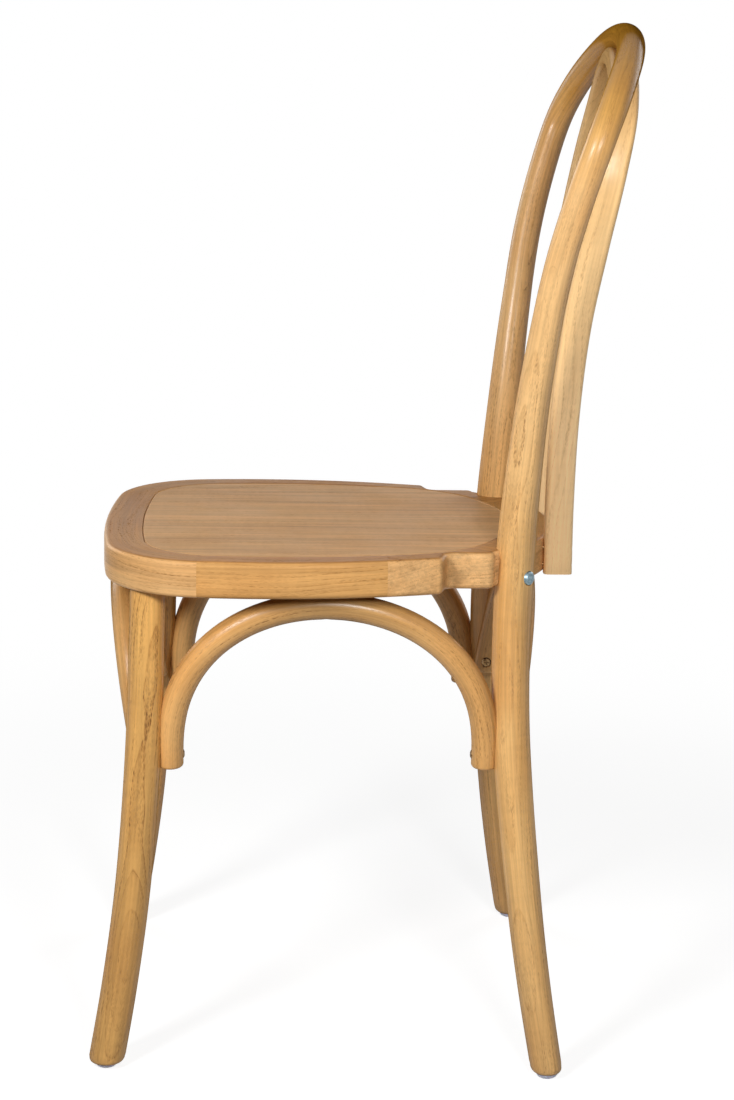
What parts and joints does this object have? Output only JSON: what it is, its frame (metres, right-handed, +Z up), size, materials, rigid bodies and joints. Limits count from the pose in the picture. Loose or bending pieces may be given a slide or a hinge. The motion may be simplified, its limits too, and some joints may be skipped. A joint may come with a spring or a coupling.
{
  "type": "bentwood chair",
  "caption": "bentwood side chair: a round-rod hoop forms back and rear legs, with a flatter inner hoop, a notched framed seat, splayed front legs and bent arches under the seat",
  "frame": {"origin": "on the floor, under the middle of the chair's box", "axes": "+X is the sitter's left, -Y is the front of the chair, +Z is up"},
  "size_m": [0.4466, 0.4732, 0.895],
  "materials": {
    "frame_wood": "satin clear lacquer on honey-coloured wood",
    "panel_wood": "satin clear lacquer",
    "dowel_wood": "plain wood",
    "glide_plastic": "cloudy clear plastic",
    "zinc_steel": "zinc plate",
    "bronze_screws": "yellow passivated steel"
  },
  "bodies": {
    "root": {"back_hoop": "frame_wood", "inner_hoop": "frame_wood", "seat_front_rail": "frame_wood", "seat_side_rail_left": "frame_wood", "seat_side_rail_right": "frame_wood", "seat_corner_left": "frame_wood", "seat_corner_right": "frame_wood", "seat_rear_rail": "frame_wood", "seat_panel": "panel_wood", "front_leg_left": "frame_wood", "front_leg_right": "frame_wood", "side_arch_left": "frame_wood", "side_arch_right": "frame_wood", "front_arch": "frame_wood", "rear_arch": "frame_wood", "glide_front_left": "glide_plastic", "glide_front_right": "glide_plastic", "glide_rear_left": "glide_plastic", "glide_rear_right": "glide_plastic", "hoop_bolt_left": "zinc_steel", "hoop_bolt_right": "zinc_steel", "hoop_washers": "zinc_steel", "hoop_nuts": "zinc_steel", "arch_end_screws": "bronze_screws", "arch_top_screws": "bronze_screws", "inner_hoop_screws": "bronze_screws", "crown_screw": "bronze_screws", "panel_screws": "bronze_screws", "frame_dowels": "dowel_wood"}
  },
  "joints": []
}
